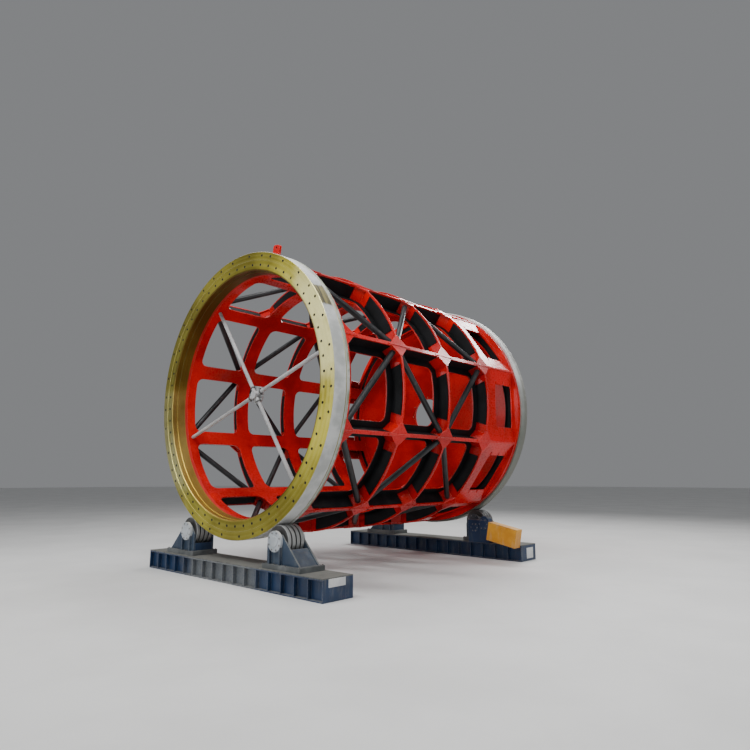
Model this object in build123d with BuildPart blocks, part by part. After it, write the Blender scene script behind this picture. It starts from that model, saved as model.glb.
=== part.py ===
from build123d import *
import math
import os

# Drum of an ore scrubber lying on two roller stands.
# The drum turns about an axis along Y, its front ring faces -Y, and z = 0 is the floor.
# The origin lies on the floor under the middle of the front ring's width.
# All sizes are in millimetres.

# Riding rings
ring_radius = 2600.0
ring_depth = 350.0
front_ring_width = 340.0
rear_ring_width = 240.0
drum_length = 5950.0
ring_edge = 8.0
face_step_inset = 150.0
face_step = 6.0
bore_step = 10.0
bore_step_depth = 110.0
rim_groove_width = 14.0
rim_groove_depth = 10.0
rim_groove_share = 0.75

# Tapped holes in the rings
bolt_radius = 14.0
bolt_depth = 80.0
inner_circle_inset = 240.0
inner_circle_count = 60
outer_circle_inset = 70.0
outer_hole_angles = (-12.0, -3.0, 3.0, 12.0)

# Cage
row_count = 10
first_hoop_gap = 30.0
hoop_pitch = 1350.0
hoop_count = 4
shell_thickness = 25.0
cage_inset = 40.0
band_thickness = 25.0
row_strip_width = 280.0
hoop_strip_width = 300.0
row_band_width = 66.0
hoop_band_width = 40.0
web_thickness = 30.0
end_flange_thickness = 60.0
window_corner = 130.0
node_reach = 290.0
cap_reach = 200.0
core_share = 0.8
cut_reach = 125.0

# Diagonal tubes
tube_diameter = 110.0
tube_cover_gap = 2.0

# Rubber lining
lining_thickness = 15.0
lining_margin = 45.0
lining_band_gap = 12.0

# Closed rear section
slot_width = 920.0
slot_length = 670.0
slot_corner = 60.0
slot_end_gap = 60.0
notch_length = 80.0
notch_width = 36.0
notch_inset = 35.0
seam_width = 30.0
seam_height = 12.0
end_plate_thickness = 40.0
end_strip_width = 60.0
end_hole_radius = 400.0
end_circle_margin = 62.0
end_circle_count = 12
end_bolt_radius = 16.0

# Spider brace behind the front ring
spider_offset = 102.0
spider_tube_diameter = 70.0
hub_diameter = 330.0
hub_thickness = 30.0
collar_diameter = 150.0
collar_length = 130.0

# Lifting lugs
lug_angle = 79.5
lug_thickness = 50.0
lug_width = 190.0
lug_corner = 45.0
lug_eye_radius = 26.0
lug_eye_edge = 55.0
front_lug_gap = 92.0
front_lug_height = 295.0
lug_foot_gap = 5.0
lug_foot_height = 35.0
rear_lug_angle = 83.4
rear_lug_height = 145.0
rear_lug_thickness = 30.0
rear_lug_inset = 19.0

# Roller stands
roller_radius = 250.0
roller_angle = 28.0
running_gap = 0.4
roller_width = 330.0
disc_count = 4
disc_groove = 22.0
groove_depth = 45.0
roller_edge = 6.0
journal_radius = 60.0
journal_clearance = 0.05
side_gap = 12.0
side_thickness = 30.0
side_hole_clearance = 6.0
cover_radius = 165.0
cover_thickness = 48.0
cover_floor = 14.0
base_height = 340.0
pedestal = 430.0
base_depth = 620.0
base_half_length = 2550.0
deck_thickness = 16.0
flange_width = 150.0
flange_thickness = 20.0
rail_web = 14.0
stiffener_pitch = 325.0
stiffener_thickness = 14.0
cross_width = 160.0
cross_wall = 12.0
bed_thickness = 80.0
bed_margin = 60.0
bed_half_depth = 260.0
bracket_inner = 230.0
bracket_outer = 580.0
bracket_top = 110.0
bracket_nose = 90.0
bracket_shoulder = 130.0
bracket_inner_drop = 45.0
back_reach = 345.0
back_recess = 25.0
back_thickness = 20.0
inner_plate_drop = 210.0
rib_offset = 130.0
rib_thickness = 25.0
rib_depth = 45.0
rib_drop = 60.0

# Drive at the right end of the rear stand
guard_inset = 332.0
guard_rise = 208.0
guard_length = 690.0
guard_height = 385.0
guard_depth = 230.0
guard_tilt = 11.0
motor_bed_gap = 71.818
motor_diameter = 200.0
motor_length = 380.0
motor_rise = 160.0
motor_foot_width = 160.0
motor_foot_length = 260.0
case_reach = 38.0
case_guard_gap = 43.0
case_overhang = 100.0
case_depth = 148.0
case_height = 480.0
case_hump_radius = 112.0
case_hump_drop = 20.0

# Places worked out from the sizes above
bore_radius = ring_radius - ring_depth
cage_radius = ring_radius - cage_inset
face_step_radius = ring_radius - face_step_inset
inner_circle_radius = ring_radius - inner_circle_inset
outer_circle_radius = ring_radius - outer_circle_inset
end_circle_radius = end_hole_radius + end_circle_margin
front_face = -front_ring_width / 2
front_back = front_ring_width / 2
rear_face = front_face + drum_length
rear_ring_front = rear_face - rear_ring_width
rear_station = rear_face - rear_ring_width / 2
first_hoop = front_back + first_hoop_gap
stations = [first_hoop + hoop_pitch * index for index in range(hoop_count)]
first_row = 180.0 / row_count
row_step = 360.0 / row_count
shell_outer = bore_radius + shell_thickness
band_inner = cage_radius - band_thickness
tube_radius = tube_diameter / 2
tube_centre = band_inner - tube_cover_gap - tube_radius
end_plate_front = rear_ring_front - end_plate_thickness
flange_front = end_plate_front - end_flange_thickness
flange_strip_start = flange_front - end_strip_width
panel_outer = cage_radius * math.cos(math.radians(row_step / 2))
panel_inner = panel_outer - shell_thickness
roller_centre = ring_radius + roller_radius + running_gap
roller_x = roller_centre * math.sin(math.radians(roller_angle))
roller_height = base_height + pedestal
axis_height = roller_height + roller_centre * math.cos(math.radians(roller_angle))
web_middle = (shell_outer + cage_radius) / 2

drum_axis = Axis((0, 0, axis_height), (0, 1, 0))
profile_plane = Plane(origin=(0, 0, axis_height), x_dir=(0, 1, 0), z_dir=(1, 0, 0))


def across(station):
    """Plane across the drum, its normal along +Y."""
    return Plane(origin=(0, station, axis_height), x_dir=(1, 0, 0), z_dir=(0, 1, 0))


def facing_front(station):
    """Plane across the drum, its normal along -Y."""
    return Plane(origin=(0, station, axis_height), x_dir=(1, 0, 0), z_dir=(0, -1, 0))


def save(part, name):
    part.label = name
    export_step(part, "parts/" + name + ".step")


# Front ring
inner_face = front_face + face_step
land_radius = bore_radius + bore_step
land_end = inner_face + bore_step_depth
groove_start = front_face + front_ring_width * rim_groove_share
groove_end = groove_start + rim_groove_width
groove_floor = ring_radius - rim_groove_depth
with BuildPart() as front_ring:
    with BuildSketch(profile_plane):
        with BuildLine():
            Polyline(
                (inner_face, land_radius + ring_edge),
                (inner_face, face_step_radius),
                (front_face, face_step_radius),
                (front_face, ring_radius - ring_edge),
                (front_face + ring_edge, ring_radius),
                (groove_start, ring_radius),
                (groove_start, groove_floor),
                (groove_end, groove_floor),
                (groove_end, ring_radius),
                (front_back - ring_edge, ring_radius),
                (front_back, ring_radius - ring_edge),
                (front_back, bore_radius),
                (land_end, bore_radius),
                (land_end, land_radius),
                (inner_face + ring_edge, land_radius),
                close=True,
            )
        make_face()
    revolve(axis=drum_axis)
    with Locations(facing_front(inner_face)):
        with PolarLocations(inner_circle_radius, inner_circle_count, 180.0 / inner_circle_count):
            Hole(bolt_radius, bolt_depth)
    with Locations(facing_front(front_face)):
        for offset_angle in outer_hole_angles:
            with PolarLocations(outer_circle_radius, row_count, offset_angle):
                Hole(bolt_radius, bolt_depth)
save(front_ring.part, "front_ring")

# Rear ring
with BuildPart() as rear_ring:
    with BuildSketch(profile_plane):
        with BuildLine():
            Polyline(
                (rear_ring_front, bore_radius),
                (rear_face, bore_radius),
                (rear_face, ring_radius - ring_edge),
                (rear_face - ring_edge, ring_radius),
                (rear_ring_front + ring_edge, ring_radius),
                (rear_ring_front, ring_radius - ring_edge),
                close=True,
            )
        make_face()
    revolve(axis=drum_axis)
    with Locations(across(rear_face)):
        with PolarLocations(inner_circle_radius, inner_circle_count, 180.0 / inner_circle_count):
            Hole(bolt_radius, bolt_depth)
save(rear_ring.part, "rear_ring")


# The cage pieces below are made beside a row: x outward, y round the drum, z along the drum.
def strip_sketch(inner, outer, width):
    """Curved strip of the drum's shell, centred on the row."""
    Circle(outer)
    Circle(inner, mode=Mode.SUBTRACT)
    with Locations(((inner + outer) / 2, 0)):
        Rectangle(inner, width, mode=Mode.INTERSECT)


def window_ends(index):
    """Where the windows behind hoop number index start and end along the drum."""
    start = stations[index] + hoop_strip_width / 2
    if index + 1 < hoop_count:
        return start, stations[index + 1] - hoop_strip_width / 2
    return start, flange_strip_start


def turned_plane(radius, angle, station):
    """Plane that faces outward at an angle round the drum, x round the drum and y along it."""
    turn = math.radians(angle)
    return Plane(
        origin=(radius * math.cos(turn), radius * math.sin(turn), station),
        x_dir=(-math.sin(turn), math.cos(turn), 0),
        z_dir=(math.cos(turn), math.sin(turn), 0),
    )


def window_pair(index):
    """Rounded windows on both sides of the row, in the bay behind hoop number index."""
    start, end = window_ends(index)
    strip_angle = math.asin(row_strip_width / 2 / bore_radius)
    half_width = bore_radius * math.sin(math.radians(first_row) - strip_angle)
    with BuildPart() as windows:
        for side in (-1, 1):
            with BuildSketch(turned_plane(bore_radius, side * first_row, (start + end) / 2)):
                RectangleRounded(2 * half_width, end - start, window_corner)
            extrude(amount=cut_reach, both=True)
    return windows.part


def cap_outline(share):
    """Diamond with cut tips; the tips are as wide as the bands that they meet."""
    reach = cap_reach * share
    hoop_tip = hoop_band_width / 2 * share
    row_tip = row_band_width / 2 * share
    Polygon(
        (reach, -hoop_tip),
        (reach, hoop_tip),
        (row_tip, reach),
        (-row_tip, reach),
        (-reach, hoop_tip),
        (-reach, -hoop_tip),
        (-row_tip, -reach),
        (row_tip, -reach),
        align=None,
    )


def diamond(share, angle, station, inner, outer):
    """Block with the outline of a cap, between two radii."""
    with BuildPart() as block:
        with BuildSketch(turned_plane(inner, angle, station)):
            cap_outline(share)
        extrude(amount=outer - inner)
    return block.part


def crossing(index):
    """Where a row crosses a hoop: inner plate, webs, gusset box and diamond cap."""
    station = stations[index]
    first = index == 0
    start = front_back if first else station - node_reach
    length = station + node_reach - start
    hoop_web = end_flange_thickness if first else web_thickness
    web_start = front_back if first else station - web_thickness / 2
    bays = (index,) if first else (index - 1, index)
    windows = [window_pair(bay) for bay in bays]
    gusset_box = diamond(core_share, 0, station, shell_outer - shell_thickness / 2, band_inner)
    cap = diamond(1.0, 0, station, band_inner, cage_radius)
    with BuildPart() as node:
        with BuildSketch(Plane.XY.offset(start)):
            strip_sketch(bore_radius, shell_outer, 2 * node_reach)
        extrude(amount=length)
        add(windows, mode=Mode.SUBTRACT)
        with BuildSketch(Plane.XY.offset(web_start)):
            strip_sketch(shell_outer, cage_radius, 2 * node_reach)
        extrude(amount=hoop_web)
        with BuildSketch(Plane.XY.offset(start)):
            with Locations((web_middle, 0)):
                Rectangle(cage_radius - shell_outer + shell_thickness, web_thickness)
            strip_band(row_band_width)
        extrude(amount=length)
        if not first:
            with BuildSketch(Plane.XY.offset(station - hoop_band_width / 2)):
                strip_sketch(band_inner, cage_radius, 2 * node_reach)
            extrude(amount=hoop_band_width)
        add(gusset_box)
        add(cap)
        if first:
            with BuildSketch(Plane.XY.offset(front_back)):
                Rectangle(4 * cage_radius, 4 * cage_radius)
            extrude(amount=-node_reach, mode=Mode.SUBTRACT)
    return node.part


def strip_band(width):
    """Outer band of a row, centred on it."""
    with Locations(((band_inner + cage_radius) / 2, 0)):
        Rectangle(band_thickness, width)


def around(name, piece, count=row_count, start=first_row):
    """Copies of a piece round the drum, one on every row or every second row."""
    with BuildPart() as ring:
        with Locations(across(0)):
            with PolarLocations(0, count, start):
                add(piece)
    save(ring.part, name)


hoop_names = ("front", "second", "third", "rear")
for index in range(hoop_count):
    around(hoop_names[index] + "_hoop_nodes", crossing(index))


# Hoops between the rows
def row_boxes(station, half_width, length):
    """Cut a gap at every row."""
    with Locations(across(station)):
        with PolarLocations(web_middle, row_count, first_row):
            Box(2 * (cage_radius - bore_radius), 2 * half_width, length, mode=Mode.SUBTRACT)


for index in range(hoop_count):
    station = stations[index]
    first = index == 0
    hoop_web = end_flange_thickness if first else web_thickness
    web_start = front_back if first else station - web_thickness / 2
    strip_start = front_back if first else station - hoop_strip_width / 2
    strip_length = station + hoop_strip_width / 2 - strip_start
    with BuildPart() as hoop:
        with BuildSketch(profile_plane):
            with Locations((strip_start + strip_length / 2, (bore_radius + shell_outer) / 2)):
                Rectangle(strip_length, shell_thickness)
            with Locations((web_start + hoop_web / 2, web_middle)):
                Rectangle(hoop_web, cage_radius - shell_outer)
            if not first:
                with Locations((station, (band_inner + cage_radius) / 2)):
                    Rectangle(hoop_band_width, band_thickness)
        revolve(axis=drum_axis)
        row_boxes(station, node_reach, 2 * hoop_strip_width)
    save(hoop.part, hoop_names[index] + "_hoop_arcs")


# Rows between the hoops
def row_piece(start, end, with_band):
    """Straight length of a row: inner strip, web and outer band."""
    with BuildPart() as row:
        with BuildSketch(Plane.XY.offset(start)):
            strip_sketch(bore_radius, shell_outer, row_strip_width)
            outer = cage_radius if with_band else band_inner
            root = bore_radius + shell_thickness / 2
            with Locations(((root + outer) / 2, 0)):
                Rectangle(outer - root, web_thickness)
            if with_band:
                strip_band(row_band_width)
        extrude(amount=end - start)
    return row.part


bay_names = ("front", "middle", "back")
for index in range(hoop_count - 1):
    start = stations[index] + node_reach
    end = stations[index + 1] - node_reach
    around(bay_names[index] + "_rows", row_piece(start, end, True))
around("rear_rows", row_piece(stations[-1] + node_reach, flange_strip_start, False))


# Diagonal tubes: a pair runs from a node on one row to the next hoop's nodes on the rows beside it
def node_point(angle, station):
    turn = math.radians(angle)
    return Vector(tube_centre * math.cos(turn), tube_centre * math.sin(turn), station)


def tube_pair(near_station, far_station):
    """Two tubes that start at one node and end on the gusset boxes of the nodes beside it."""
    places = ((0, near_station), (-row_step, far_station), (row_step, far_station))
    boxes = [diamond(core_share, angle, station, shell_outer, cage_radius) for angle, station in places]
    with BuildPart() as pair:
        for side in (-1, 1):
            foot = node_point(0, near_station)
            head = node_point(side * row_step, far_station)
            with BuildSketch(Plane(origin=foot, z_dir=head - foot)):
                Circle(tube_radius)
            extrude(amount=(head - foot).length)
        add(boxes, mode=Mode.SUBTRACT)
    return pair.part


second_row = first_row + row_step
for index in range(hoop_count - 1):
    near, far = (index + 1, index) if index % 2 == 0 else (index, index + 1)
    around(
        bay_names[index] + "_diagonals",
        tube_pair(stations[near], stations[far]),
        row_count // 2,
        second_row,
    )

# Rubber lining on both sides of the webs between the nodes
lining_outer = band_inner - lining_band_gap
lining_inner = shell_outer + lining_thickness
lining_root = shell_outer + lining_thickness / 2


def row_lining(start, end):
    with BuildPart() as lining:
        for side in (-1, 1):
            with BuildSketch(Plane.XY.offset(start)):
                strip_sketch(shell_outer, lining_inner, row_strip_width)
                with Locations((web_middle, side * row_strip_width / 2)):
                    Rectangle(cage_radius, row_strip_width - web_thickness, mode=Mode.INTERSECT)
                middle = side * (web_thickness + lining_thickness) / 2
                with Locations(((lining_root + lining_outer) / 2, middle)):
                    Rectangle(lining_outer - lining_root, lining_thickness)
            extrude(amount=end - start)
    return lining.part


lining_pieces = []
for index in range(hoop_count):
    start = stations[index] + node_reach + lining_margin
    last = index + 1 == hoop_count
    end = flange_strip_start if last else stations[index + 1] - node_reach
    lining_pieces.append(row_lining(start, end - lining_margin))
with BuildPart() as row_linings:
    with Locations(across(0)):
        with PolarLocations(0, row_count, first_row):
            add(lining_pieces)
save(row_linings.part, "row_linings")


def hoop_lining(face, edge, outer):
    """Ring of rubber with an angle profile: on a hoop's face and on its strip."""
    side = 1 if edge > face else -1
    with BuildPart() as ring:
        with BuildSketch(profile_plane):
            with Locations(((face + edge) / 2, (shell_outer + lining_inner) / 2)):
                Rectangle(abs(edge - face), lining_thickness)
            with Locations((face + side * lining_thickness / 2, (shell_outer + outer) / 2)):
                Rectangle(lining_thickness, outer - shell_outer)
        revolve(axis=drum_axis)
    return ring.part


with BuildPart() as hoop_linings:
    for index in range(hoop_count):
        station = stations[index]
        sides = (1,) if index == 0 else (-1, 1)
        last = index + 1 == hoop_count
        for side in sides:
            face = station + side * web_thickness / 2
            if index == 0:
                face = front_back + end_flange_thickness
            edge = station + side * hoop_strip_width / 2
            closed_over = last and side == 1
            add(hoop_lining(face, edge, panel_inner - lining_band_gap if closed_over else lining_outer))
        row_boxes(station, node_reach + lining_margin, 2 * hoop_strip_width)
    add(hoop_lining(flange_front, flange_strip_start, panel_inner - lining_band_gap))
    row_boxes(flange_front, web_thickness / 2 + lining_thickness, 2 * hoop_strip_width)
save(hoop_linings.part, "hoop_linings")

# Closed rear section: flat panels with one slot each, seam bars between them, end plate with a hole
skin_start = stations[-1] + web_thickness / 2
skin_middle = (skin_start + flange_front) / 2
skin_length = flange_front - skin_start
seam_start = stations[-1] + node_reach
slot_end = flange_front - slot_end_gap
slot_start = slot_end - slot_length


def slot_block():
    """Space of one slot, with rounded corners and three narrow cuts past each end."""
    with BuildPart() as block:
        with BuildSketch(turned_plane(panel_outer, 0, (slot_start + slot_end) / 2)):
            RectangleRounded(slot_width, slot_length, slot_corner)
            with GridLocations(0, slot_length / 2 - notch_inset, 1, 3):
                Rectangle(slot_width + 2 * notch_length, notch_width)
        extrude(amount=cut_reach, both=True)
    return block.part


def cap_space():
    """Space that a gusset box and its cap take out of the panels."""
    with BuildPart() as space:
        add(diamond(core_share, 0, stations[-1], shell_outer, cage_radius))
        add(diamond(1.0, 0, stations[-1], band_inner, cage_radius + band_thickness))
    return space.part


def skin_part(start, end):
    """Part of the panels between two places along the drum, cut open at the rows, caps and slots."""
    slot = slot_block()
    cap_cut = cap_space()
    with BuildPart() as skin:
        with BuildSketch(across(start)):
            RegularPolygon(panel_outer, row_count, major_radius=False, rotation=first_row)
            RegularPolygon(
                panel_inner, row_count, major_radius=False, rotation=first_row, mode=Mode.SUBTRACT
            )
        extrude(amount=end - start)
        with Locations(across(skin_middle)):
            with PolarLocations(cage_radius, row_count, first_row):
                Box(cut_reach, seam_width, skin_length, mode=Mode.SUBTRACT)
        with Locations(across((skin_start + seam_start) / 2)):
            with PolarLocations(cage_radius, row_count, first_row):
                Box(cut_reach, row_band_width, seam_start - skin_start, mode=Mode.SUBTRACT)
        with Locations(across(0)):
            with PolarLocations(0, row_count):
                add(slot, mode=Mode.SUBTRACT)
            with PolarLocations(0, row_count, first_row):
                add(cap_cut, mode=Mode.SUBTRACT)
    return skin.part


save(skin_part(skin_start, slot_start), "rear_skin_front")
save(skin_part(slot_start, slot_end), "rear_skin_posts")
save(skin_part(slot_end, flange_front), "rear_skin_back")

with BuildPart() as rear_seams:
    with Locations(across((seam_start + flange_front) / 2)):
        with PolarLocations((band_inner + cage_radius + seam_height) / 2, row_count, first_row):
            Box(band_thickness + seam_height, seam_width, flange_front - seam_start)
save(rear_seams.part, "rear_seams")

with BuildPart() as rear_end_plate:
    with BuildSketch(profile_plane):
        with Locations((end_plate_front + end_plate_thickness / 2, (end_hole_radius + cage_radius) / 2)):
            Rectangle(end_plate_thickness, cage_radius - end_hole_radius)
        with Locations(((flange_front + end_plate_front) / 2, (bore_radius + cage_radius) / 2)):
            Rectangle(end_flange_thickness, cage_radius - bore_radius)
        with Locations(((flange_strip_start + flange_front) / 2, (bore_radius + shell_outer) / 2)):
            Rectangle(flange_front - flange_strip_start, shell_thickness)
    revolve(axis=drum_axis)
    web_root = bore_radius + shell_thickness / 2
    with Locations(across((flange_strip_start + flange_front) / 2)):
        with PolarLocations((web_root + band_inner) / 2, row_count, first_row):
            Box(band_inner - web_root, web_thickness, flange_front - flange_strip_start)
    with Locations(across(rear_ring_front)):
        with PolarLocations(end_circle_radius, end_circle_count):
            Hole(end_bolt_radius, end_plate_thickness)
save(rear_end_plate.part, "rear_end_plate")

# Spider brace: two crossed tubes seated on four rows, with a hub plate and collar
spider_station = front_back + spider_offset
spider_rows = [first_row + row_step * index for index in (0, 3, 5, 8)]
plate_start = spider_station + spider_tube_diameter / 2
with BuildPart() as spider_hub:
    with BuildSketch(across(plate_start)):
        Circle(hub_diameter / 2)
    extrude(amount=hub_thickness)
    with BuildSketch(across(plate_start + hub_thickness - collar_length)):
        Circle(collar_diameter / 2)
    extrude(amount=collar_length)
save(spider_hub.part, "spider_hub")

with BuildPart() as spider_arm:
    with BuildSketch(Plane.YZ):
        Circle(spider_tube_diameter / 2)
    extrude(amount=bore_radius)
    Cylinder(bore_radius, 2 * spider_tube_diameter, mode=Mode.INTERSECT)
    Cylinder(collar_diameter / 2, 2 * spider_tube_diameter, mode=Mode.SUBTRACT)

with BuildPart() as spider_arms:
    with Locations(facing_front(spider_station)):
        for angle in spider_rows:
            with PolarLocations(0, 1, angle):
                add(spider_arm.part)
save(spider_arms.part, "spider_arms")


# Lifting lugs: the front one stands on a foot on the first hoop, the rear one on the end flange
front_lug_start = front_back + front_lug_gap
rear_lug_start = flange_front + rear_lug_inset


def lug_plane(start, angle):
    """Plane across the drum, its y axis pointing outward at the lug's angle."""
    turn = math.radians(angle)
    return Plane(
        origin=(0, start, axis_height), x_dir=(-math.sin(turn), 0, math.cos(turn)), z_dir=(0, 1, 0)
    )


with BuildPart() as lifting_lugs:
    front_lug = (front_lug_start, lug_angle, front_lug_height, lug_thickness)
    rear_lug = (rear_lug_start, rear_lug_angle, rear_lug_height, rear_lug_thickness)
    for start, angle, height, thickness in (front_lug, rear_lug):
        lug_top = cage_radius + height
        with BuildSketch(lug_plane(start, angle)):
            with Locations((0, lug_top - (height + lug_corner) / 2)):
                RectangleRounded(lug_width, height + lug_corner, lug_corner)
            with Locations((0, lug_top - lug_eye_edge)):
                Circle(lug_eye_radius, mode=Mode.SUBTRACT)
            Circle(cage_radius, mode=Mode.SUBTRACT)
        extrude(amount=thickness)
    with BuildSketch(lug_plane(front_back + lug_foot_gap, lug_angle)):
        with Locations((0, cage_radius)):
            Rectangle(lug_width, 2 * lug_foot_height)
        Circle(cage_radius, mode=Mode.SUBTRACT)
    extrude(amount=front_lug_gap + lug_thickness - lug_foot_gap)
save(lifting_lugs.part, "lifting_lugs")

# Roller stands
rail_height = base_height - deck_thickness
rail_offset = (base_depth - flange_width) / 2
side_inner = roller_width / 2 + side_gap
side_outer = side_inner + side_thickness
side_middle = side_inner + side_thickness / 2


def bracket_plane(hand, station):
    """Plane through a roller's centre, x outward, y up."""
    return Plane(origin=(hand * roller_x, station, roller_height), x_dir=(hand, 0, 0), z_dir=(0, -hand, 0))


def stand(name, station):
    length = 2 * base_half_length
    rail_lines = (station - rail_offset, station + rail_offset)

    with BuildPart() as rails:
        with BuildSketch(Plane.YZ.offset(-base_half_length)):
            for line in rail_lines:
                with Locations((line, flange_thickness / 2), (line, rail_height - flange_thickness / 2)):
                    Rectangle(flange_width, flange_thickness)
                with Locations((line, rail_height / 2)):
                    Rectangle(rail_web, rail_height)
        extrude(amount=length)
        spaces = round((length - stiffener_thickness) / stiffener_pitch)
        spacing = (length - stiffener_thickness) / spaces
        with Locations((0, station, rail_height / 2)):
            with GridLocations(spacing, 2 * rail_offset, spaces + 1, 2):
                Box(stiffener_thickness, flange_width, rail_height)
    save(rails.part, name + "_base_rails")

    cross_length = 2 * rail_offset - flange_width
    cross_end = base_half_length - cross_width / 2
    cross_places = (-cross_end, -roller_x, 0, roller_x, cross_end)
    with BuildPart() as crossbeams:
        with Locations(*[(place, station, rail_height / 2) for place in cross_places]):
            Box(cross_width, cross_length, rail_height)
            Box(
                cross_width - 2 * cross_wall,
                cross_length,
                rail_height - 2 * cross_wall,
                mode=Mode.SUBTRACT,
            )
    save(crossbeams.part, name + "_base_crossbeams")

    with BuildPart() as deck:
        with Locations((0, station, base_height - deck_thickness / 2)):
            Box(length, base_depth, deck_thickness)
    save(deck.part, name + "_deck")

    foot = bed_thickness - pedestal
    with BuildPart() as sides:
        for hand in (-1, 1):
            for face in (-1, 1):
                with BuildSketch(bracket_plane(hand, station + face * side_middle)):
                    with BuildLine():
                        Polyline(
                            (-bracket_inner, foot),
                            (bracket_outer, foot),
                            (bracket_shoulder, bracket_top),
                            (-bracket_nose, bracket_top),
                            (-bracket_inner, -bracket_inner_drop),
                            close=True,
                        )
                    make_face()
                    Circle(journal_radius + side_hole_clearance, mode=Mode.SUBTRACT)
                extrude(amount=side_thickness / 2, both=True)
                with BuildSketch(bracket_plane(hand, station + face * (side_outer + rib_depth / 2))):
                    with Locations((0, (foot - rib_drop) / 2)):
                        with GridLocations(2 * rib_offset, 0, 2, 1):
                            Rectangle(rib_thickness, -rib_drop - foot)
                    Circle(cover_radius, mode=Mode.SUBTRACT)
                extrude(amount=rib_depth / 2, both=True)
    save(sides.part, name + "_bracket_sides")

    slope = (bracket_top - foot) / (bracket_outer - bracket_shoulder)
    back_top = bracket_top - (back_reach - bracket_shoulder) * slope
    back_lean = back_reach - back_recess
    back_foot = bracket_outer - back_recess
    bed_length = bracket_inner + bracket_outer + 2 * bed_margin
    with BuildPart() as backs:
        for hand in (-1, 1):
            with BuildSketch(bracket_plane(hand, station)):
                with Locations(((bracket_outer - bracket_inner) / 2, bed_thickness / 2 - pedestal)):
                    Rectangle(bed_length, bed_thickness)
            extrude(amount=bed_half_depth, both=True)
            with BuildSketch(bracket_plane(hand, station)):
                with Locations((back_thickness / 2 - bracket_inner, (foot - inner_plate_drop) / 2)):
                    Rectangle(back_thickness, -inner_plate_drop - foot)
                with BuildLine():
                    Polyline(
                        (back_foot - back_thickness, foot),
                        (back_foot, foot),
                        (back_lean, back_top),
                        (back_lean - back_thickness, back_top),
                        close=True,
                    )
                make_face()
            extrude(amount=side_inner, both=True)
    save(backs.part, name + "_bracket_backs")

    with BuildPart() as covers:
        for hand in (-1, 1):
            for face in (-1, 1):
                start = station + face * side_outer
                cover_plane = Plane(
                    origin=(hand * roller_x, start, roller_height), x_dir=(1, 0, 0), z_dir=(0, face, 0)
                )
                with BuildSketch(cover_plane):
                    Circle(cover_radius)
                    Circle(journal_radius + journal_clearance, mode=Mode.SUBTRACT)
                extrude(amount=cover_thickness - cover_floor)
                with BuildSketch(cover_plane.offset(cover_thickness - cover_floor)):
                    Circle(cover_radius)
                extrude(amount=cover_floor)
    save(covers.part, name + "_bearing_covers")

    journal_end = side_outer + cover_thickness - cover_floor - side_hole_clearance
    for hand, word in ((-1, "left"), (1, "right")):
        disc_width = (roller_width - (disc_count - 1) * disc_groove) / disc_count
        roller_profile = Plane(
            origin=(hand * roller_x, 0, roller_height), x_dir=(0, 1, 0), z_dir=(1, 0, 0)
        )
        with BuildPart() as roller:
            with BuildSketch(roller_profile):
                with Locations((station, journal_radius / 2)):
                    Rectangle(2 * journal_end, journal_radius)
                with Locations((station, (roller_radius - groove_depth) / 2)):
                    Rectangle(roller_width, roller_radius - groove_depth)
                for disc in range(disc_count):
                    start = station - roller_width / 2 + disc * (disc_width + disc_groove)
                    with BuildLine():
                        Polyline(
                            (start, 0),
                            (start + disc_width, 0),
                            (start + disc_width, roller_radius - roller_edge),
                            (start + disc_width - roller_edge, roller_radius),
                            (start + roller_edge, roller_radius),
                            (start, roller_radius - roller_edge),
                            close=True,
                        )
                    make_face()
            revolve(axis=Axis((hand * roller_x, 0, roller_height), (0, 1, 0)))
        save(roller.part, name + "_" + word + "_roller")


stand("front", 0.0)
stand("rear", rear_station)

# Drive at the right end of the rear stand: gear case, tilted guard at the front edge, motor behind it
drive_front = rear_station - base_depth / 2
guard_x = base_half_length - guard_inset
guard_centre = base_height + guard_rise
with BuildPart() as drive_guard:
    with BuildSketch(Plane(origin=(guard_x, drive_front, guard_centre), x_dir=(1, 0, 0), z_dir=(0, -1, 0))):
        Rectangle(guard_length, guard_height, rotation=-guard_tilt)
    extrude(amount=guard_depth)
save(drive_guard.part, "drive_guard")

case_right = guard_x - guard_length / 2 - case_guard_gap
case_left = roller_x - case_reach
case_front = drive_front - case_overhang
with BuildPart() as drive_gear_case:
    with BuildSketch(Plane(origin=(0, case_front, base_height), x_dir=(1, 0, 0), z_dir=(0, -1, 0))):
        with Locations(((case_left + case_right) / 2, case_height / 2)):
            Rectangle(case_right - case_left, case_height)
        with Locations((case_right - case_hump_radius, case_height - case_hump_drop)):
            Circle(case_hump_radius)
    extrude(amount=-case_depth)
save(drive_gear_case.part, "drive_gear_case")

motor_x = roller_x + bracket_outer + bed_margin + motor_bed_gap + motor_diameter / 2
motor_centre = base_height + motor_rise
with BuildPart() as drive_motor:
    with BuildSketch(Plane(origin=(motor_x, drive_front, motor_centre), x_dir=(1, 0, 0), z_dir=(0, -1, 0))):
        Circle(motor_diameter / 2)
    extrude(amount=-motor_length)
    with Locations((motor_x, drive_front + motor_length / 2, base_height + motor_rise / 2)):
        Box(motor_foot_width, motor_foot_length, motor_rise)
save(drive_motor.part, "drive_motor")
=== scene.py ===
import math

import bmesh
import bpy
from mathutils import Matrix, Vector


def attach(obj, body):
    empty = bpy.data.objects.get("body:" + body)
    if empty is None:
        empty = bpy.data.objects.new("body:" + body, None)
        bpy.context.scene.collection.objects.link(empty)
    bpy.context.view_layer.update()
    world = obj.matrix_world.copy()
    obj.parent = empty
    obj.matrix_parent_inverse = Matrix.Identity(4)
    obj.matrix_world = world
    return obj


# Looks of the ore scrubber's drum and its two roller stands.
# Metres, in the part's own frame: the drum's axis runs along Y and z = 0 is the floor.

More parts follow.
